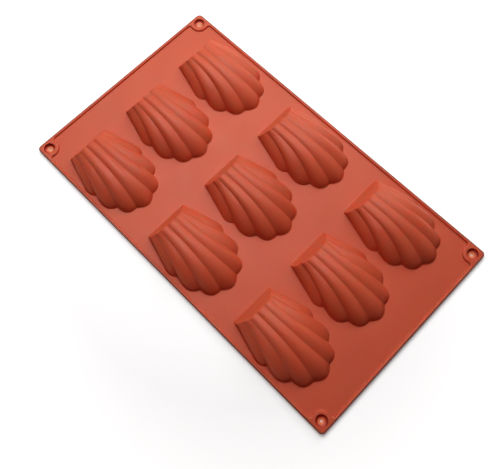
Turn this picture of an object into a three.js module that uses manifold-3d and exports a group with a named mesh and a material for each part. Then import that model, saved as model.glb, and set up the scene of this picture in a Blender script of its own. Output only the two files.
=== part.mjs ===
// Silicone baking mould with nine shell-shaped cups, lying domes up, in millimetres.
// The origin is the middle of the flat underside. +X runs along the long side, from the flat
// ends of the shells to their scalloped tips, +Y along the short side, and +Z up.

import * as THREE from "three";
import { mergeGeometries, mergeVertices } from "three/addons/utils/BufferGeometryUtils.js";
import Module from "manifold-3d";

// The sheet and the raised rim round it.
const SHEET = { length: 300, width: 175, thickness: 1.5, cornerRadius: 3.3 };
const RIM = { width: 2.5, top: 3 };

// The hanging holes: a dished recess in a round boss that grows out of the rim.
const HOLE = { inset: 6.9, bossRadius: 7.2, fillet: 2, recessRadius: 4.2, dish: 1, floor: 0.5, radius: 1 };

// The cups, on a grid with its middle at the sheet's middle.
const GRID = { columns: 3, rows: 3, pitchX: 90, pitchY: 57.5 };
const WALL = 1.5;

// One shell, in its own frame: u runs to the tip, v across it and h up from the sheet's top.
// Its flat end leans inwards, and its foot runs straight from the flat end's corner.
const FLAT_END = { u: -35, cornerV: 17.6, lean: 0.558 };
const FOOT_END = { u: -9, v: 25.1 };

// The three grooves on one side of the shell, from the middle outwards. Each starts on the flat
// end at endV, endH, crests at crestU, crestH, and comes down to the notch at notchU, notchV.
// fan says how late it turns outwards.
const GROOVES = [
  { endV: 3.65, endH: 13.5, crestU: -8, crestH: 14.8, notchU: 31.9, notchV: 7.95, fan: 2.6 },
  { endV: 10.15, endH: 12.7, crestU: -12, crestH: 13.45, notchU: 21.3, notchV: 18.2, fan: 2.0 },
  { endV: 13.5, endH: 8.7, crestU: -18, crestH: 9.2, notchU: 2.5, notchV: 22.9, fan: 1.4 },
];
const FALL = { power: 2, bluntness: 0.72 };

// The ribs, from the middle one outwards: how far each stands out at the foot, as a share of its
// width, and how far its lobe leans towards the tip. At the flat end all stand out by CROWN.
const RIBS = [
  { lobe: 0.29, skew: 0 },
  { lobe: 0.28, skew: 0.12 },
  { lobe: 0.26, skew: 0.35 },
  { lobe: 0.2, skew: 0.1 },
];
const CROWN = 0.14;
const SWELL = 1;
const TURN = 1.6;

// How finely the faces are cut: steps across a rib and along it, outside and inside.
const OUTSIDE = { across: 4, along: 9 };
const INSIDE = { across: 3, along: 7 };
const ROW_CROWDING = 1.35;
const ARC_STEPS = 4;
const BOSS_STEPS = 9;
const HOLE_SIDES = 16;

const SILICONE = new THREE.MeshStandardMaterial({ color: 0xc2543a, roughness: 0.5, metalness: 0 });
const UP = new THREE.Vector3(0, 0, 1);
const EPSILON = 1;

// ---------- one shell ----------

// The point of a groove at s, from 0 on the flat end to 1 at its notch.
function groovePoint(groove, s) {
  const startU = FLAT_END.u + FLAT_END.lean * groove.endH;
  const u = startU + (groove.notchU - startU) * s;
  const v = groove.endV + (groove.notchV - groove.endV) * s ** groove.fan;
  if (u < groove.crestU) {
    const back = (groove.crestU - u) / (groove.crestU - startU);
    return new THREE.Vector3(u, v, groove.crestH - (groove.crestH - groove.endH) * back ** 2);
  }
  const down = Math.min((u - groove.crestU) / (groove.notchU - groove.crestU), 1);
  return new THREE.Vector3(u, v, groove.crestH * (1 - down ** FALL.power) ** FALL.bluntness);
}

// The point of the straight foot at s, from the flat end's corner to the outermost lobe.
function footPoint(s) {
  const u = THREE.MathUtils.lerp(FLAT_END.u, FOOT_END.u, s);
  return new THREE.Vector3(u, THREE.MathUtils.lerp(FLAT_END.cornerV, FOOT_END.v, s), 0);
}

// The eight lines that bound the seven ribs, from one foot over the shell to the other.
function boundaryPoint(index, s) {
  const lines = GROOVES.length + 1;
  const side = index < lines ? -1 : 1;
  const place = index < lines ? lines - 1 - index : index - lines;
  const point = place < GROOVES.length ? groovePoint(GROOVES[place], s) : footPoint(s);
  point.y *= side;
  return point;
}

// The direction in which a rib bulges: square to the rib in the flat end's plane at the start,
// level and outwards at the foot, and in between a mix that stays square to the rib.
function bulgeDirection(index, s) {
  const place = Math.abs(index - GROOVES.length);
  const chordAt = (t) => boundaryPoint(index + 1, t).sub(boundaryPoint(index, t)).normalize();
  const startNormal = chordAt(0).cross(new THREE.Vector3(1, 0, -FLAT_END.lean).normalize());
  const endNormal = UP.clone().cross(chordAt(1));
  const towardsTip = -Math.sign(index - GROOVES.length) * RIBS[place].skew;
  startNormal.multiplyScalar(Math.sign(startNormal.z));
  const outside = boundaryPoint(index, 1).sub(FOOT_CENTRE);
  endNormal.multiplyScalar(Math.sign(endNormal.dot(outside)));
  endNormal.addScaledVector(chordAt(1), towardsTip).normalize();
  const direction = startNormal.normalize().lerp(endNormal, s ** TURN);
  const chord = chordAt(s);
  return direction.addScaledVector(chord, -(1 - s ** 4) * direction.dot(chord)).normalize();
}
const FOOT_CENTRE = new THREE.Vector3(-5, 0, 0);

// A point of a rib: across runs from 0 to 1 between its two grooves, and s along them.
function ribPoint(index, across, s) {
  const from = boundaryPoint(index, s);
  const chord = boundaryPoint(index + 1, s).sub(from);
  const lobe = RIBS[Math.abs(index - GROOVES.length)].lobe;
  const height = chord.length() * (CROWN + (lobe - CROWN) * s ** SWELL);
  const bulge = height * (1 - (2 * across - 1) ** 2);
  return from.addScaledVector(chord, across).addScaledVector(bulgeDirection(index, s), bulge);
}

// The closed shell with a straight skirt below its foot. scale shrinks it about its middle,
// which is how the hollow follows the outside.
function shellGeometry({ across, along }, scale, skirt) {
  const ribCount = 2 * RIBS.length - 1;
  const rows = [];
  for (let row = 0; row <= along; row += 1) {
    const s = 1 - (1 - row / along) ** ROW_CROWDING;
    const points = [];
    for (let rib = 0; rib < ribCount; rib += 1) {
      for (let step = 0; step < across; step += 1) {
        points.push(ribPoint(rib, step / across, s));
      }
    }
    points.push(ribPoint(ribCount - 1, 1, s));
    rows.push(points.map((point) => point.multiply(scale)));
  }

  const triangles = [];
  const quad = (a, b, c, d) => triangles.push(a, b, c, a, c, d);
  for (let row = 0; row < along; row += 1) {
    for (let column = 0; column + 1 < rows[row].length; column += 1) {
      const [near, far] = [rows[row], rows[row + 1]];
      quad(near[column], far[column], far[column + 1], near[column + 1]);
    }
  }

  // The foot's outline, once round: out along one foot, round the lobes and back.
  const outline = rows.map((points) => points[0]);
  outline.push(...rows[along].slice(1, -1));
  outline.push(...rows.map((points) => points[points.length - 1]).reverse());
  const lower = outline.map((point) => point.clone().setZ(-skirt));
  const centre = FOOT_CENTRE.clone().setZ(-skirt);
  for (let i = 0; i < outline.length; i += 1) {
    const next = (i + 1) % outline.length;
    quad(outline[i], lower[i], lower[next], outline[next]);
    triangles.push(lower[i], centre, lower[next]);
  }

  // The flat end, as a fan from the first corner over the arch to the other.
  const arch = rows[0];
  for (let i = 1; i + 1 < arch.length; i += 1) {
    triangles.push(arch[0], arch[i], arch[i + 1]);
  }
  return new THREE.BufferGeometry().setFromPoints(triangles);
}

// ---------- the sheet ----------

// Points along an arc, from one angle to another.
function arcPoints(x, y, radius, from, to, steps) {
  return Array.from({ length: steps + 1 }, (_, i) => {
    const angle = from + ((to - from) * i) / steps;
    return new THREE.Vector2(x + radius * Math.cos(angle), y + radius * Math.sin(angle));
  });
}

// A closed outline from the points of the +X +Y corner, mirrored into the other three.
function fourCorners(corner) {
  const turned = [...corner].reverse();
  const mirror = (points, signX, signY) => points.map((p) => new THREE.Vector2(signX * p.x, signY * p.y));
  return new THREE.Shape([
    ...corner,
    ...mirror(turned, -1, 1),
    ...mirror(corner, -1, -1),
    ...mirror(turned, 1, -1),
  ]);
}

function sheetOutline() {
  const x = SHEET.length / 2 - SHEET.cornerRadius;
  const y = SHEET.width / 2 - SHEET.cornerRadius;
  return fourCorners(arcPoints(x, y, SHEET.cornerRadius, 0, Math.PI / 2, ARC_STEPS));
}

// The low field inside the rim. Each corner steps round a boss, with a fillet on both sides.
function fieldOutline() {
  const reach = HOLE.bossRadius + HOLE.fillet;
  const sideways = HOLE.inset - RIM.width - HOLE.fillet;
  const tilt = Math.asin(sideways / reach);
  const x = SHEET.length / 2 - HOLE.inset;
  const y = SHEET.width / 2 - HOLE.inset;
  const filletPoints = (angle, from, to) => {
    const filletX = x + reach * Math.cos(angle);
    const filletY = y + reach * Math.sin(angle);
    return arcPoints(filletX, filletY, HOLE.fillet, from, to, ARC_STEPS);
  };
  const right = -Math.PI / 2 + tilt;
  const left = Math.PI - tilt;
  return fourCorners([
    ...filletPoints(right, 0, right + Math.PI),
    ...arcPoints(x, y, HOLE.bossRadius, right, left - 2 * Math.PI, BOSS_STEPS).slice(1, -1),
    ...filletPoints(left, left - Math.PI, Math.PI / 2),
  ]);
}

function slab(outline, bottom, top) {
  const geometry = new THREE.ExtrudeGeometry(outline, { depth: top - bottom, bevelEnabled: false });
  return geometry.translate(0, 0, bottom);
}

// The dished recess and the small hole through its floor, as one turned cutter.
function holeCutter() {
  const profile = [
    [0, -EPSILON],
    [HOLE.radius, -EPSILON],
    [HOLE.radius, HOLE.floor],
    [HOLE.recessRadius - HOLE.dish, HOLE.floor + HOLE.dish / 4],
    [HOLE.recessRadius, HOLE.floor + HOLE.dish],
    [HOLE.recessRadius, RIM.top + EPSILON],
    [0, RIM.top + EPSILON],
  ].map(([radius, height]) => new THREE.Vector2(radius, height));
  return new THREE.LatheGeometry(profile, HOLE_SIDES).rotateX(Math.PI / 2);
}

// ---------- joining and cutting ----------

const manifold = await Module();
manifold.setup();

function solid(geometry) {
  const bare = geometry.index ? geometry : geometry.clone();
  bare.deleteAttribute("normal");
  bare.deleteAttribute("uv");
  const merged = mergeVertices(bare, 1e-4);
  return new manifold.Manifold(
    new manifold.Mesh({
      numProp: 3,
      vertProperties: new Float32Array(merged.attributes.position.array),
      triVerts: new Uint32Array(merged.index.array),
    }),
  );
}

function geometryOf(body) {
  const { vertProperties, triVerts } = body.getMesh();
  const geometry = new THREE.BufferGeometry();
  geometry.setAttribute("position", new THREE.BufferAttribute(vertProperties, 3));
  geometry.setIndex(new THREE.BufferAttribute(triVerts, 1));
  return geometry;
}

function cupCentres() {
  const centres = [];
  for (let column = 0; column < GRID.columns; column += 1) {
    for (let row = 0; row < GRID.rows; row += 1) {
      const x = (column - (GRID.columns - 1) / 2) * GRID.pitchX;
      const y = (row - (GRID.rows - 1) / 2) * GRID.pitchY;
      centres.push([x, y]);
    }
  }
  return centres;
}

function buildMould() {
  let body = solid(slab(sheetOutline(), 0, RIM.top));
  body = body.subtract(solid(slab(fieldOutline(), SHEET.thickness, RIM.top + EPSILON)));

  const shellLength = GROOVES[0].notchU - FLAT_END.u;
  const shellHeight = GROOVES[0].crestH;
  const inner = new THREE.Vector3(
    1 - (2 * WALL) / shellLength,
    1 - WALL / FOOT_END.v,
    1 - WALL / shellHeight,
  );
  const outside = shellGeometry(OUTSIDE, new THREE.Vector3(1, 1, 1), SHEET.thickness / 2);
  const hollow = shellGeometry(INSIDE, inner, SHEET.thickness + EPSILON);
  const centres = cupCentres();
  const placed = (geometry, [x, y]) => solid(geometry.clone().translate(x, y, SHEET.thickness));
  for (const centre of centres) {
    body = body.add(placed(outside, centre));
  }
  for (const centre of centres) {
    body = body.subtract(placed(hollow, centre));
  }

  const holeX = SHEET.length / 2 - HOLE.inset;
  const holeY = SHEET.width / 2 - HOLE.inset;
  for (const signX of [-1, 1]) {
    for (const signY of [-1, 1]) {
      body = body.subtract(solid(holeCutter().translate(signX * holeX, signY * holeY, 0)));
    }
  }
  return geometryOf(body);
}

const mould = new THREE.Mesh(buildMould(), SILICONE);
mould.name = "mould";

const part = new THREE.Group();
part.add(mould);

export default part;
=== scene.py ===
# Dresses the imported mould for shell-shaped cakes: one silicone moulding with nine ribbed cups,
# lying domes up on a pale floor in soft studio light.
import math

import bmesh
import bpy
import numpy as np
from mathutils import Matrix, Vector
from mathutils.geometry import delaunay_2d_cdt


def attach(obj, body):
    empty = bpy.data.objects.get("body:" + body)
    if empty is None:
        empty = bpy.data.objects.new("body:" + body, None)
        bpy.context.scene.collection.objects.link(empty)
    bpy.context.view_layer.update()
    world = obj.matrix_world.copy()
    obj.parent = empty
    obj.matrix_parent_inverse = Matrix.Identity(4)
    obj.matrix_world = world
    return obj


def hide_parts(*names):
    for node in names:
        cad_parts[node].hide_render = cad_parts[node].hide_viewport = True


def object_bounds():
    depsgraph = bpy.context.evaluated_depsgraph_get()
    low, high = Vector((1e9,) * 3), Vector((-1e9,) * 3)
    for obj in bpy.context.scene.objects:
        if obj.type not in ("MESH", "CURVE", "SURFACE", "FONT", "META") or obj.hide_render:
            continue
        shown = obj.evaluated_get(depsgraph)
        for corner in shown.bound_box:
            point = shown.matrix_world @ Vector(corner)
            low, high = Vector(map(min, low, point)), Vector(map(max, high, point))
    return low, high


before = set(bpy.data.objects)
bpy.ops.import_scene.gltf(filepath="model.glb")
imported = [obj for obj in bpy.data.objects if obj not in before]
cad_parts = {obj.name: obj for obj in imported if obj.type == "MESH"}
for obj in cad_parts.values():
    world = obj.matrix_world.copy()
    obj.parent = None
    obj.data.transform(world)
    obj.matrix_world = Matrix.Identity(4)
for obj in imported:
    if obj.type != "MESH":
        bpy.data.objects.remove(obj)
CAD_LOW, CAD_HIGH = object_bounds()

# The sizes of the moulding and of its materials' patterns are in millimetres, in the frame of the
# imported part, and turn into metres where Blender takes them. The stage's are in metres.
MM = 0.001

# ---------- the moulding's sizes ----------

SHEET_LENGTH = (CAD_HIGH.x - CAD_LOW.x) / MM
SHEET_WIDTH = (CAD_HIGH.y - CAD_LOW.y) / MM
DOME_TOP = CAD_HIGH.z / MM
SHEET_TOP = 1.5
SHEET_CORNER = 3.3
RIM_WIDTH = 2.5
RIM_TOP = 3.0
WALL = 1.5

# The hanging holes: a dished recess in a round boss that grows out of the rim. The middle given is
# that of the +X +Y corner's hole.
HOLE_INSET = 6.9
HOLE_X = SHEET_LENGTH / 2 - HOLE_INSET
HOLE_Y = SHEET_WIDTH / 2 - HOLE_INSET
HOLE_RADIUS = 1.0
BOSS_RADIUS = 7.2
BOSS_FILLET = 2.0
RECESS_RADIUS = 4.2
DISH_TOP = 1.5
DISH_FLOOR = 0.5

# How far the moulding's edges are rounded, and the narrow level band that each rounding ends in,
# which keeps the level faces beside it flat in the light.
STEP_FOOT = 0.3
STEP_TOP = 1.1
RECESS_EDGE = 0.25
EDGE_TOP = 0.8
EDGE_BOTTOM = 0.4
HOLE_EDGE = 0.2
CUP_FOOT = 0.5
MOUTH_EDGE = 0.5
BAND = 0.15

# How finely a rounding, a corner or fillet, a boss's arc and a hole are divided.
ROUND_STEPS = 4
CORNER_STEPS = 8
BOSS_STEPS = 18
HOLE_SIDES = 48

# The cups stand on a grid with its middle at the sheet's middle.
COLUMN_X = (-90.0, 0.0, 90.0)
ROW_Y = (-57.5, 0.0, 57.5)

# One cup in its own frame: u runs to the tip, v across and h up. Its flat end leans in by END_LEAN
# for each millimetre up, and its foot runs straight from the flat end's corner to the outermost lobe.
END_U = -35.0
END_CORNER_V = 17.6
END_LEAN = 0.558
FOOT_END = (-9.0, 25.1)
CUP_MIDDLE = (-5.0, 0.0, 0.0)

# The three grooves on one side, from the middle outwards: v and h where each starts on the flat end,
# u and h where it crests, u and v where it reaches the sheet, and the power that it fans out by. The
# fall from the crest is blunted by a power of its own.
GROOVES = (
    {"end": (3.65, 13.5), "crest": (-8.0, 14.8), "notch": (31.9, 7.95), "fan": 2.6},
    {"end": (10.15, 12.7), "crest": (-12.0, 13.45), "notch": (21.3, 18.2), "fan": 2.0},
    {"end": (13.5, 8.7), "crest": (-18.0, 9.2), "notch": (2.5, 22.9), "fan": 1.4},
)
BLUNTNESS = 0.72

# The seven ribs from one side to the other: how far each stands out at its foot as a share of its
# width, and how far its lobe leans towards the tip. At the flat end all stand out by CROWN.
LOBES = np.array([0.2, 0.26, 0.28, 0.29, 0.28, 0.26, 0.2])
SKEWS = np.array([0.1, 0.35, 0.12, 0.0, -0.12, -0.35, -0.1])
CROWN = 0.18

# The powers of a rib's length by which its bulge turns level, and by which it stops being square to
# the rib's chord.
TURN = 1.6
RELEASE = 4

# How finely a cup is divided: across a rib, up the flat end and along the back, and how many rows of
# the back share in the arch's rounding.
OUTSIDE = {"across": 14, "end": 10, "back": 36, "arch": 12}
INSIDE = {"across": 8, "end": 6, "back": 22, "arch": 7}

# The powers by which a cup's rows crowd towards both ends of the back, and up the flat end.
BACK_CROWDING = 1.6
END_CROWDING = 1.8

# How many times a cup is softened: across its ribs, along them, and along them near the arch.
SOFT_ACROSS = 1
SOFT_ALONG = 2
SOFT_ARCH = 6

# How far a cup's outside is drawn in at its widest, to leave room for the rounding of its foot.
DRAW_IN = 0.3

# A cup's landing on a level face: how many times its directions are softened round the cup, the most
# that it follows the wall's lean, as run over rise, how many times that lean is softened, and the
# least rise that a lean is worked out from.
SOFT_DIRECTIONS = 100
MOST_LEAN = 0.6
SOFT_LEAN = 6
LEAST_RISE = 1e-6

# Points closer than the first two are one: in a level face, in millimetres, and over the whole mesh,
# in metres. Edges shorter than the third, in metres, are dissolved.
LEVEL_MERGE = 1e-7
SEAM_MERGE = 2e-6
SHORTEST_EDGE = 1e-7

# Delaunay's kind of output: triangles over the whole hull.
HULL_TRIANGLES = 0


# ---------- plain geometry ----------

def unit(vectors):
    """Vectors of length one along the last axis."""
    return vectors / np.linalg.norm(vectors, axis=-1, keepdims=True)


def arc(centre, radius, start, stop, steps=ROUND_STEPS):
    """Points on a circle's arc between two angles in degrees, in even steps."""
    angle = np.radians(np.linspace(start, stop, steps + 1))
    return np.array(centre) + radius * np.stack([np.cos(angle), np.sin(angle)], -1)


def soften(grid, axis, passes):
    """Every point moves to the mean of its two neighbours along one axis and twice itself, as many
    times as there are passes. The ends stay."""
    lines = np.moveaxis(np.array(grid), axis, 0)
    for _ in range(passes):
        lines[1:-1] = (lines[:-2] + 2 * lines[1:-1] + lines[2:]) / 4
    return np.moveaxis(lines, 0, axis)


def soften_round(ring, passes):
    """The same mean along a closed ring."""
    for _ in range(passes):
        ring = (np.roll(ring, 1, 0) + 2 * ring + np.roll(ring, -1, 0)) / 4
    return ring


def outward(ring):
    """The sideways direction at each point of an anticlockwise ring: the mean of the normals of its two
    edges, lengthened at a corner so that an offset along it keeps the edges parallel."""
    edges = unit(np.roll(ring, -1, 0) - ring)
    normals = np.stack([edges[:, 1], -edges[:, 0]], -1)
    mean = (normals + np.roll(normals, 1, 0)) / 2
    return mean / (mean**2).sum(-1, keepdims=True)


def carried(ring, side, profile):
    """A profile of (sideways, height) points carried along a ring: each row of the grid is the ring
    moved along its sideways directions by the point's first number, at the height of its second."""
    flat = ring + profile[:, None, :1] * side
    height = np.broadcast_to(profile[:, None, 1:], flat.shape[:2] + (1,))
    return np.concatenate([flat, height], -1)


# ---------- one cup ----------

def groove_line(groove, s):
    """A groove at the shares s of its length: u runs evenly to the notch, v turns outwards as a power
    of s, and h is a parabola up to the crest and a blunted parabola down from it."""
    end_v, end_h = groove["end"]
    crest_u, crest_h = groove["crest"]
    notch_u, notch_v = groove["notch"]
    end_u = END_U + END_LEAN * end_h
    u = end_u + (notch_u - end_u) * s
    v = end_v + (notch_v - end_v) * s ** groove["fan"]
    back = np.clip((crest_u - u) / (crest_u - end_u), 0, 1)
    down = np.clip((u - crest_u) / (notch_u - crest_u), 0, 1)
    rising = crest_h - (crest_h - end_h) * back**2
    falling = crest_h * (1 - down**2) ** BLUNTNESS
    return np.stack([u, v, np.where(u < crest_u, rising, falling)], -1)


def foot_line(s):
    """The straight foot from the flat end's corner to the outermost lobe."""
    corner = np.array([END_U, END_CORNER_V])
    flat = corner + (np.array(FOOT_END) - corner) * s[:, None]
    return np.concatenate([flat, np.zeros((len(s), 1))], -1)


def rib_lines(s):
    """The eight lines that bound the seven ribs, from one foot over the cup to the other."""
    side = [groove_line(groove, s) for groove in GROOVES] + [foot_line(s)]
    return np.stack([line * (1, -1, 1) for line in side[::-1]] + side)


def bulge_directions(lines, s):
    """Where each rib bulges to: square to its chord in the flat end's plane at the start, level and
    outwards at the foot, and in between the mix by a power of s, kept square to the chord until
    close to the foot."""
    chords = unit(lines[1:] - lines[:-1])
    start = unit(np.cross(chords[:, 0], unit(np.array([1.0, 0.0, -END_LEAN]))))
    start *= np.sign(start[:, 2:])
    level = unit(np.cross((0.0, 0.0, 1.0), chords[:, -1]))
    away = ((lines[1:, -1] - np.array(CUP_MIDDLE)) * level).sum(-1, keepdims=True)
    level = unit(level * np.sign(away) + SKEWS[:, None] * chords[:, -1])
    mix = (s**TURN)[None, :, None]
    direction = start[:, None] * (1 - mix) + level[:, None] * mix
    along = (direction * chords).sum(-1, keepdims=True)
    return unit(direction - (1 - s**RELEASE)[None, :, None] * along * chords)


def cup_back(s, steps):
    """The ribbed back, one row for each s. Across a rib a point is its chord's point plus a parabola
    that grows evenly along the rib, and the points crowd towards the grooves as a cosine."""
    lines = rib_lines(s)
    chords = lines[1:] - lines[:-1]
    width = np.linalg.norm(chords, axis=-1, keepdims=True)
    stands = width * (CROWN + (LOBES[:, None, None] - CROWN) * s[None, :, None])
    bulge = stands * bulge_directions(lines, s)
    across = ((1 - np.cos(np.pi * np.arange(steps + 1) / steps)) / 2)[:, None]
    parabola = 1 - (2 * across - 1) ** 2
    ribs = lines[:-1, :, None] + chords[:, :, None] * across + bulge[:, :, None] * parabola
    joined = ribs[:, :, :-1].transpose(1, 0, 2, 3).reshape(len(s), -1, 3)
    return np.concatenate([joined, ribs[-1, :, -1:]], axis=1)


def cup_skin(counts):
    """The flat end and the back as one grid. The end's columns run up its slope from a level foot to
    the arch, crowding towards it. The whole is softened, which rounds the grooves and the arch, and
    its part nearest the arch more so along its columns."""
    even = np.linspace(0, 1, counts["back"] + 1)
    crowded = even**BACK_CROWDING / (even**BACK_CROWDING + (1 - even) ** BACK_CROWDING)
    back = cup_back(crowded, counts["across"])
    arch = back[0]
    foot = np.linspace((END_U, -END_CORNER_V, 0), (END_U, END_CORNER_V, 0), len(arch))
    up = 1 - (1 - np.arange(counts["end"]) / counts["end"]) ** END_CROWDING
    end = foot + (arch - foot) * up[:, None, None]
    skin = soften(soften(np.concatenate([end, back]), 1, SOFT_ACROSS), 0, SOFT_ALONG)
    near = counts["end"] + counts["arch"]
    skin[:near] = soften(skin[:near], 0, SOFT_ARCH)
    return skin


def fitted(skin, draw_in, low, high):
    """A skin shrunk sideways about its middle, by draw_in at its widest, and stretched to stand from
    low to high."""
    reach = np.abs(skin).max((0, 1))
    shrink = 1 - draw_in / reach[:2]
    height = low + skin[..., 2:] * (high - low) / reach[2]
    return np.concatenate([skin[..., :2] * shrink, height], -1)


def once_round(grid):
    """A grid's border as a closed anticlockwise ring."""
    return np.concatenate([grid[:-1, 0], grid[-1, :-1], grid[:0:-1, -1], grid[0, :0:-1]])


def landing(skin, level):
    """The strip that brings a skin's border down to a level face: a quadratic curve that leaves the
    wall along its own lean and ends level, then a narrow level band. It runs out along directions
    that turn slowly round the cup, so that it doesn't fold in the notches."""
    border = once_round(skin)
    inner = once_round(np.pad(skin[1:-1, 1:-1], ((1, 1), (1, 1), (0, 0)), mode="edge"))
    drop = border[:, 2:] - level
    plain = soften_round(border[:, :2], SOFT_DIRECTIONS)
    tangent = unit(np.roll(plain, -1, 0) - np.roll(plain, 1, 0))
    side = np.stack([tangent[:, 1], -tangent[:, 0]], -1)
    wall = border - inner
    lean = (wall[:, :2] * side).sum(-1, keepdims=True) / np.maximum(-wall[:, 2:], LEAST_RISE)
    lean = soften_round(np.clip(lean, 0, MOST_LEAN), SOFT_LEAN)
    first = drop * lean
    second = np.sqrt(drop**2 + first**2)
    t = np.linspace(0, 1, ROUND_STEPS + 1)[:, None, None]
    out = first * 2 * t * (1 - t) + (first + second) * t**2
    out = np.concatenate([out, out[-1:] + BAND])
    height = level + drop * np.concatenate([(1 - t) ** 2, np.zeros((1, 1, 1))])
    return np.concatenate([border[:, :2] + side * out, height], -1)


# ---------- the sheet ----------

def all_corners(corner):
    """A closed ring from the points of the +X +Y corner, mirrored into the other three."""
    back = corner[::-1]
    return np.concatenate([corner, back * (-1, 1), corner * (-1, -1), back * (1, -1)])


def sheet_ring():
    """The sheet's outline, with round corners."""
    centre = (SHEET_LENGTH / 2 - SHEET_CORNER, SHEET_WIDTH / 2 - SHEET_CORNER)
    return all_corners(arc(centre, SHEET_CORNER, 0, 90, CORNER_STEPS))


def field_ring():
    """The inside of the rim. Each corner steps round a boss, by a fillet, the boss's arc and a fillet."""
    centre = np.array([HOLE_X, HOLE_Y])
    reach = BOSS_RADIUS + BOSS_FILLET
    tilt = math.degrees(math.asin((HOLE_INSET - RIM_WIDTH - BOSS_FILLET) / reach))
    right = tilt - 90
    left = 180 - tilt

    def fillet(towards, start, stop):
        angle = math.radians(towards)
        middle = centre + reach * np.array([math.cos(angle), math.sin(angle)])
        return arc(middle, BOSS_FILLET, start, stop, CORNER_STEPS)

    boss = arc(centre, BOSS_RADIUS, right, left - 360, BOSS_STEPS)
    corner = [fillet(right, 0, right + 180), boss[1:-1], fillet(left, left - 180, 90)]
    return all_corners(np.concatenate(corner))


def step_profile():
    """From the field up the rim's inner step, by a hollow rounding and a full one."""
    return np.concatenate([
        [(-STEP_FOOT - BAND, SHEET_TOP)],
        arc((-STEP_FOOT, SHEET_TOP + STEP_FOOT), STEP_FOOT, -90, 0),
        arc((STEP_TOP, RIM_TOP - STEP_TOP), STEP_TOP, 180, 90),
        [(STEP_TOP + BAND, RIM_TOP)],
    ])


def edge_profile():
    """From the rim's top over the outer edge and back under it."""
    return np.concatenate([
        [(-EDGE_TOP - BAND, RIM_TOP)],
        arc((-EDGE_TOP, RIM_TOP - EDGE_TOP), EDGE_TOP, 90, 0),
        arc((-EDGE_BOTTOM, EDGE_BOTTOM), EDGE_BOTTOM, 0, -90),
        [(-EDGE_BOTTOM - BAND, 0.0)],
    ])


def hole_profile():
    """From the boss's top down the recess, over its dished floor, a quarter of an ellipse, and through
    the small hole, as (radius, height) points."""
    foot = HOLE_RADIUS + HOLE_EDGE
    quarter = arc((0, 0), 1, 0, -90, 2 * ROUND_STEPS)
    return np.concatenate([
        [(RECESS_RADIUS + RECESS_EDGE + BAND, RIM_TOP)],
        arc((RECESS_RADIUS + RECESS_EDGE, RIM_TOP - RECESS_EDGE), RECESS_EDGE, 90, 180),
        quarter * (RECESS_RADIUS - foot, DISH_TOP - DISH_FLOOR) + (foot, DISH_TOP),
        arc((foot, DISH_FLOOR - HOLE_EDGE), HOLE_EDGE, 90, 180)[1:],
        arc((foot, HOLE_EDGE), HOLE_EDGE, 180, 270),
        [(foot + BAND, 0.0)],
    ])


def hole_skin(x, y):
    """The hole's profile turned round an upright axis at x, y."""
    angle = 2 * np.pi * np.arange(HOLE_SIDES) / HOLE_SIDES
    side = np.stack([np.cos(angle), np.sin(angle)], -1)
    return carried(np.array([x, y]), side, hole_profile())


# ---------- one closed mesh ----------

def crossings(places, starts, ends):
    """How many of the edges from starts to ends a line towards +X from each place crosses: those whose
    ends lie on both sides of it and that reach its height further along +X."""
    x, y = places[:, :1], places[:, 1:]
    straddles = (starts[:, 1] > y) != (ends[:, 1] > y)
    rise = np.where(straddles, ends[:, 1] - starts[:, 1], 1)
    reached = starts[:, 0] + (y - starts[:, 1]) * (ends[:, 0] - starts[:, 0]) / rise
    return (straddles & (reached > x)).sum(1)


class Moulding:
    """Collects grids and level faces, and joins them into one closed mesh."""

    def __init__(self):
        self.points = []
        self.faces = []
        self.count = 0

    def keep(self, points, faces):
        """Adds points, and faces that number them from nought."""
        self.points.append(points)
        self.faces += (faces + self.count).tolist()
        self.count += len(points)

    def add_grid(self, grid, closed=False, turned_over=False):
        """Squares between the neighbours of a grid; turned_over faces them to the other side."""
        rows, columns = grid.shape[:2]
        index = np.arange(rows * columns).reshape(rows, columns)
        if closed:
            index = np.concatenate([index, index[:, :1]], axis=1)
        corners = [index[:-1, :-1], index[1:, :-1], index[1:, 1:], index[:-1, 1:]]
        squares = np.stack(corners, -1).reshape(-1, 4)
        self.keep(grid.reshape(-1, 3), squares[:, ::-1] if turned_over else squares)

    def add_level(self, rings, turned_over=False):
        """The level face inside the first ring and outside the others: Delaunay's triangles between
        all the rings' points, kept where a line sideways from a triangle's middle crosses the rings
        an odd number of times."""
        points = np.concatenate([ring[:, :2] for ring in rings])
        sizes = [len(ring) for ring in rings]
        starts = np.repeat(np.cumsum([0] + sizes[:-1]), sizes)
        number = np.arange(len(points))
        following = starts + (number - starts + 1) % np.repeat(sizes, sizes)
        edges = np.stack([number, following], -1).tolist()
        found = delaunay_2d_cdt(points.tolist(), edges, [], HULL_TRIANGLES, LEVEL_MERGE, False)
        flat = np.array(found[0])
        triangles = np.array(found[2])
        middles = flat[triangles].mean(1)
        triangles = triangles[crossings(middles, points, points[following]) % 2 == 1]
        corners = flat[triangles]
        first = corners[:, 1] - corners[:, 0]
        second = corners[:, 2] - corners[:, 0]
        area = first[:, 0] * second[:, 1] - first[:, 1] * second[:, 0]
        wrong = (area < 0) != turned_over
        triangles[wrong] = triangles[wrong][:, ::-1]
        height = np.full((len(flat), 1), rings[0][0, 2])
        self.keep(np.concatenate([flat, height], -1), triangles)

    def finish(self, name):
        """The smooth-shaded object, with the points of all seams merged."""
        mesh = bpy.data.meshes.new(name)
        mesh.from_pydata((np.concatenate(self.points) * MM).tolist(), [], self.faces)
        joined = bmesh.new()
        joined.from_mesh(mesh)
        bmesh.ops.remove_doubles(joined, verts=joined.verts, dist=SEAM_MERGE)
        bmesh.ops.dissolve_degenerate(joined, edges=joined.edges, dist=SHORTEST_EDGE)
        joined.to_mesh(mesh)
        joined.free()
        mesh.shade_smooth()
        piece = bpy.data.objects.new(name, mesh)
        bpy.context.scene.collection.objects.link(piece)
        return piece


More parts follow.
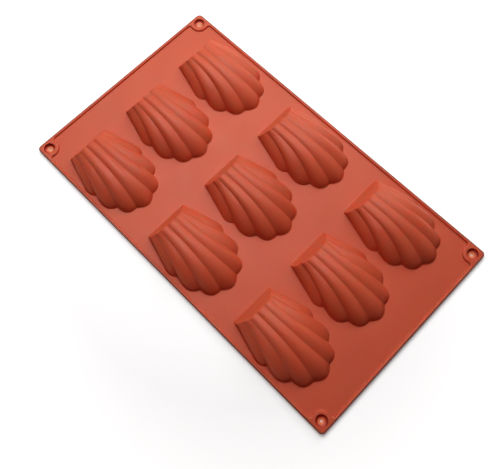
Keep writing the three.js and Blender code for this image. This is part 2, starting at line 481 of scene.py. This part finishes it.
def make_moulding():
    """The whole moulding: nine cups with their insides, the rim's step, the outer edge and the four
    holes, and the three level faces between them, which are the field, the rim's top and the
    underside."""
    outside = fitted(cup_skin(OUTSIDE), DRAW_IN, SHEET_TOP + CUP_FOOT, DOME_TOP)
    inside = fitted(cup_skin(INSIDE), DRAW_IN + WALL, MOUTH_EDGE, DOME_TOP - WALL)
    foot = landing(outside, SHEET_TOP)
    mouth = landing(inside, 0.0)
    moulding = Moulding()
    feet, mouths = [], []
    for x in COLUMN_X:
        for y in ROW_Y:
            centre = (x, y, 0)
            moulding.add_grid(outside + centre)
            moulding.add_grid(foot + centre, closed=True)
            moulding.add_grid(inside + centre, turned_over=True)
            moulding.add_grid(mouth + centre, closed=True, turned_over=True)
            feet.append(foot[-1] + centre)
            mouths.append(mouth[-1] + centre)

    field, sheet = field_ring(), sheet_ring()
    step = carried(field, outward(field), step_profile())
    edge = carried(sheet, outward(sheet), edge_profile())
    moulding.add_grid(step, closed=True)
    moulding.add_grid(edge, closed=True)
    recesses, holes = [], []
    for sign_x in (-1, 1):
        for sign_y in (-1, 1):
            hole = hole_skin(sign_x * HOLE_X, sign_y * HOLE_Y)
            moulding.add_grid(hole, closed=True, turned_over=True)
            recesses.append(hole[0])
            holes.append(hole[-1])

    moulding.add_level([step[0]] + feet)
    moulding.add_level([edge[0], step[-1]] + recesses)
    moulding.add_level([edge[-1]] + mouths + holes, turned_over=True)
    return moulding.finish("mould_skin")


# ---------- shader sums ----------

# The numbers of the Mix node's colour sockets, whose names its other sockets share.
MIX_FIRST = 6
MIX_SECOND = 7
MIX_RESULT = 2

# The value that noise sways about.
NOISE_MIDDLE = 0.5


class Shade:
    """A node's output that can be used in Python sums: each operation adds a Math node."""

    def __init__(self, tree, socket=None):
        self.tree = tree
        self.socket = socket

    def node(self, kind, settings=None, inputs=None, output=0):
        """Adds a node: its settings first, then the values or links of its sockets."""
        made = self.tree.nodes.new(kind)
        for name, value in (settings or {}).items():
            setattr(made, name, value)
        for name, value in (inputs or {}).items():
            if isinstance(value, Shade):
                value.feed(made.inputs[name])
            else:
                made.inputs[name].default_value = value
        return Shade(self.tree, made.outputs[output])

    def feed(self, socket):
        """Links the output to another node's socket."""
        self.tree.links.new(self.socket, socket)

    def output(self, name):
        """Another output of the same node."""
        return Shade(self.tree, self.socket.node.outputs[name])

    def maths(self, operation, *values):
        """A Math node on one to three values or outputs."""
        return self.node("ShaderNodeMath", {"operation": operation}, dict(enumerate(values)))

    def mix(self, factor, first, second):
        """A mix of two colours, from the first at 0 to the second at 1."""
        inputs = {"Factor": factor, MIX_FIRST: first, MIX_SECOND: second}
        return self.node("ShaderNodeMix", {"data_type": "RGBA"}, inputs, MIX_RESULT)

    def root(self):
        """The square root."""
        return self.maths("SQRT", self)

    def climb(self, start, stop):
        """For an output in metres: 0 up to start, 1 from stop on, both in millimetres, and a straight
        climb in between."""
        share = (self - start * MM) * (1 / ((stop - start) * MM))
        return share.maths("MINIMUM", share.maths("MAXIMUM", share, 0.0), 1.0)

    def sway(self, amount):
        """How far noise is from its middle value, times an amount."""
        return (self - NOISE_MIDDLE) * amount

    def __abs__(self):
        return self.maths("ABSOLUTE", self)

    def __add__(self, other):
        return self.maths("ADD", self, other)

    def __sub__(self, other):
        return self.maths("SUBTRACT", self, other)

    def __mul__(self, other):
        return self.maths("MULTIPLY", self, other)

    def __rsub__(self, other):
        return self.maths("SUBTRACT", other, self)

    __radd__ = __add__
    __rmul__ = __mul__


def new_material(name, **constants):
    """A material, the Shade that starts its sums, and its Principled shader with the constant sockets
    set."""
    material = bpy.data.materials.new(name)
    material.use_nodes = True
    tree = material.node_tree
    tree.nodes.clear()
    shader = tree.nodes.new("ShaderNodeBsdfPrincipled")
    output = tree.nodes.new("ShaderNodeOutputMaterial")
    tree.links.new(shader.outputs["BSDF"], output.inputs["Surface"])
    for socket, value in constants.items():
        shader.inputs[socket.replace("_", " ")].default_value = value
    return material, Shade(tree), shader


def positions(shade):
    """The Object coordinates, the distances along X and Y from the sheet's middle, which are the same
    in its four quarters, and the height."""
    place = shade.node("ShaderNodeTexCoord", output="Object")
    x = shade.node("ShaderNodeSeparateXYZ", None, {"Vector": place})
    return place, abs(x), abs(x.output("Y")), x.output("Z")


def noise(shade, place, size, detail):
    """Noise from 0 to 1 whose patches are about size millimetres across."""
    inputs = {"Vector": place, "Scale": 1 / (size * MM), "Detail": detail}
    return shade.node("ShaderNodeTexNoise", None, inputs)


# ---------- materials ----------

# The silicone's two shades and its even mix of them, then a painted glow, pale, on the web round a
# hole, and painted shade, dark, on the recess's wall and along the sheet's outer edge, each with its
# share where it is strongest. Colours are linear.
DARK_SHADE = (0.58, 0.146, 0.079, 1)
LIGHT_SHADE = (0.66, 0.177, 0.095, 1)
EVEN_MIX = 0.5
# Painted glow: a pale ring on the thin web round each hole, as if lit through.
WEB_PAINTED_GLOW = (0.90, 0.42, 0.22, 1)
WEB_GLOW_SHARE = 0.7
# Painted shade: the recess's wall is darkened.
WALL_PAINTED_SHADE = (0.36, 0.035, 0.016, 1)
WALL_SHADE_SHARE = 0.55
# Painted shade: a dark brown line along the sheet's outer edge.
EDGE_PAINTED_SHADE = (0.23, 0.115, 0.09, 1)
EDGE_SHADE_SHARE = 0.8

# From where to where the painted glow and shades start or stop: the web's glow and the wall's shade by
# the distance from the hole's middle, the wall's shade by the height over the underside too, and the
# edge's shade by the distance from the sheet's outline, which is below nought inside it.
WEB_GLOW_STOPS = (1.8, 2.8)
WALL_SHADE_STARTS = (2.5, 3.2)
WALL_SHADE_STOPS = (4.1, 4.5)
WALL_SHADE_RISES = (0.0, 0.5)
EDGE_SHADE_STARTS = (-1.3, -0.8)

# The silicone's patterns: how far across their patches are, and how far they sway the mix of the
# shades or the roughness. The grain is relief instead, with a depth and a strength.
DRIFT_SIZE = 70
DRIFT_SWAY = 1.2
SPECK_SIZE = 1.2
SPECK_SWAY = 0.25
SMUDGE_SIZE = 20
SMUDGE_SWAY = 0.16
GRAIN_SIZE = 0.35
GRAIN_DEPTH = 0.2
GRAIN_STRENGTH = 0.12
PLAIN_DETAIL = 2
FINE_DETAIL = 3
ROUGHNESS = 0.48

# The floor, its painted shade under the mould, warm with painted bounce light, and its glow near the
# mould and far from it, with the distances from the mould's middle that the glow changes over.
FLOOR_COLOUR = (0.95, 0.95, 0.95, 1)
# Painted shade, warm with painted bounce light, on the floor under the mould.
UNDER_PAINTED_SHADE = (0.70, 0.28, 0.18, 1)
NEAR_GLOW = (0.155, 0.18, 0.183, 1)
FAR_GLOW = (0.80, 0.80, 0.80, 1)
GLOW_RISES = (150, 500)


def recess_masks(x, y, z):
    """Two masks by the distance from a hole's middle: painted glow on the thin web close round the hole,
    and painted shade on the recess's wall further out, but not the underside below it."""
    across = x - HOLE_X * MM
    along = y - HOLE_Y * MM
    distance = (across * across + along * along).root()
    # Painted glow on the thin web.
    web = 1 - distance.climb(*WEB_GLOW_STOPS)
    # Painted shade on the recess's wall.
    wall = distance.climb(*WALL_SHADE_STARTS) * (1 - distance.climb(*WALL_SHADE_STOPS))
    return web, wall * z.climb(*WALL_SHADE_RISES)


def edge_mask(x, y):
    """One on the sheet's outermost edge and beyond it, and nought further in, by the distance from the
    outline, a rectangle with round corners."""
    radius = SHEET_CORNER * MM
    across = x - (SHEET_LENGTH / 2 * MM - radius)
    along = y - (SHEET_WIDTH / 2 * MM - radius)
    right = across.maths("MAXIMUM", across, 0.0)
    up = along.maths("MAXIMUM", along, 0.0)
    larger = across.maths("MAXIMUM", across, along)
    outside = (right * right + up * up).root() + larger.maths("MINIMUM", larger, 0.0) - radius
    return outside.climb(*EDGE_SHADE_STARTS)


def silicone_material():
    """Satin moulded silicone: terracotta that drifts a little between a darker and a lighter shade, with
    painted glow on the thin webs round the holes, painted shade on the recesses' walls and painted brown
    shade along the outer edge, and a fine moulded grain and faint patches where it is smoother."""
    material, shade, shader = new_material(
        "silicone",
        Specular_IOR_Level=0.43,
        Subsurface_Weight=0.6,
        Subsurface_Radius=(1.0, 0.12, 0.05),
        Subsurface_Scale=0.0035,
    )
    place, x, y, z = positions(shade)
    web, wall = recess_masks(x, y, z)
    drift = noise(shade, place, DRIFT_SIZE, PLAIN_DETAIL)
    speck = noise(shade, place, SPECK_SIZE, PLAIN_DETAIL)
    smudge = noise(shade, place, SMUDGE_SIZE, FINE_DETAIL)
    grain = noise(shade, place, GRAIN_SIZE, FINE_DETAIL)
    lightness = EVEN_MIX + drift.sway(DRIFT_SWAY) + speck.sway(SPECK_SWAY)
    colour = shade.mix(lightness, DARK_SHADE, LIGHT_SHADE)
    # Painted glow on the webs round the holes.
    colour = shade.mix(web * WEB_GLOW_SHARE, colour, WEB_PAINTED_GLOW)
    # Painted shade on the recesses' walls.
    colour = shade.mix(wall * WALL_SHADE_SHARE, colour, WALL_PAINTED_SHADE)
    # Painted shade along the outer edge.
    colour = shade.mix(edge_mask(x, y) * EDGE_SHADE_SHARE, colour, EDGE_PAINTED_SHADE)
    relief = {"Strength": GRAIN_STRENGTH, "Distance": GRAIN_DEPTH * MM, "Height": grain}
    colour.feed(shader.inputs["Base Color"])
    (ROUGHNESS + smudge.sway(SMUDGE_SWAY)).feed(shader.inputs["Roughness"])
    shade.node("ShaderNodeBump", None, relief).feed(shader.inputs["Normal"])
    return material


def floor_material():
    """A plain pale matt floor that glows faintly round the mould and brighter away from it, so that its
    far end is as pale as the sky. Under the mould, where only the holes show it, it has painted shade,
    warm with painted bounce light from the silicone."""
    material, shade, shader = new_material("pale_floor", Roughness=0.7, Emission_Strength=1.0)
    place, x, y, _ = positions(shade)
    distance = shade.node("ShaderNodeVectorMath", {"operation": "LENGTH"}, {0: place}, "Value")
    # Painted shade under the mould, warm with painted bounce light.
    colour = shade.mix(edge_mask(x, y), UNDER_PAINTED_SHADE, FLOOR_COLOUR)
    glow = shade.mix(distance.climb(*GLOW_RISES), NEAR_GLOW, FAR_GLOW)
    colour.feed(shader.inputs["Base Color"])
    glow.feed(shader.inputs["Emission Color"])
    return material


# ---------- the stage ----------

# The floor's half width, and how far it lies under the mould.
FLOOR_HALF = 3.0
FLOOR_GAP = 0.0006

# The lamps look at the mould's middle: where each hangs, how wide its disc is, and its watts.
LAMPS = {
    "key": ((-0.30, 0.12, 0.72), 0.66, 3.6),
    "side": ((-0.12, 0.60, 0.46), 0.50, 1.32),
}

# What the camera sees of the sky, and the weak warm fill that it gives the mould and the floor.
SKY_COLOUR = (1, 1, 1, 1)
SKY_STRENGTH = 0.8
FILL_COLOUR = (1.0, 0.45, 0.40, 1)
FILL_STRENGTH = 0.065

# The camera: where it is, where it looks, its roll in degrees, its lens and its sensor in millimetres,
# and the nearest that it sees.
CAMERA_PLACE = (0.1118, -0.1080, 0.3999)
CAMERA_TARGET = (0.01699, -0.02089, 0.0)
CAMERA_ROLL = -2.86
CAMERA_LENS = 40.86
CAMERA_SENSOR = 36.0
CAMERA_NEAREST = 0.01


def aimed(place, target, roll=0.0):
    """The placing of a camera or lamp that looks at a target, rolled about its axis."""
    place, target = Vector(place), Vector(target)
    turn = (target - place).to_track_quat("-Z", "Y").to_matrix().to_4x4()
    return Matrix.Translation(place) @ turn @ Matrix.Rotation(math.radians(roll), 4, "Z")


def make_camera():
    """The camera looks down on the mould from over its +X -Y corner."""
    camera = bpy.data.cameras.new("camera")
    camera.sensor_width = CAMERA_SENSOR
    camera.lens = CAMERA_LENS
    camera.clip_start = CAMERA_NEAREST
    viewer = bpy.data.objects.new("camera", camera)
    viewer.matrix_world = aimed(CAMERA_PLACE, CAMERA_TARGET, CAMERA_ROLL)
    bpy.context.scene.collection.objects.link(viewer)
    bpy.context.scene.camera = viewer


def make_lamps():
    """Soft round lamps: a key over the cups' flat ends, and a weaker one from the +Y side."""
    for name, (place, size, watts) in LAMPS.items():
        light = bpy.data.lights.new(name, "AREA")
        light.shape = "DISK"
        light.size = size
        light.energy = watts
        lamp = bpy.data.objects.new(name, light)
        lamp.matrix_world = aimed(place, (0, 0, 0))
        bpy.context.scene.collection.objects.link(lamp)


def make_world():
    """A pale sky where the camera sees it, and a weak warm light from all round for the rest."""
    world = bpy.data.worlds.new("studio")
    world.use_nodes = True
    background = world.node_tree.nodes["Background"]
    seen = Shade(world.node_tree).node("ShaderNodeLightPath", output="Is Camera Ray")
    colour = seen.mix(seen, FILL_COLOUR, SKY_COLOUR)
    strength = seen * (SKY_STRENGTH - FILL_STRENGTH) + FILL_STRENGTH
    colour.feed(background.inputs["Color"])
    strength.feed(background.inputs["Strength"])
    bpy.context.scene.world = world


def make_floor():
    """A plain square floor just under the mould."""
    low, high, depth = -FLOOR_HALF, FLOOR_HALF, -FLOOR_GAP
    corners = [(low, low, depth), (high, low, depth), (high, high, depth), (low, high, depth)]
    mesh = bpy.data.meshes.new("floor")
    mesh.from_pydata(corners, [], [(0, 1, 2, 3)])
    mesh.materials.append(floor_material())
    floor = bpy.data.objects.new("floor", mesh)
    bpy.context.scene.collection.objects.link(floor)


make_camera()
make_lamps()
make_world()
bpy.context.scene.view_settings.view_transform = "Standard"
bpy.context.scene.view_settings.look = "High Contrast"
make_floor()

mould = make_moulding()
mould.data.materials.append(silicone_material())
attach(mould, "root")
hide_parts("mould")
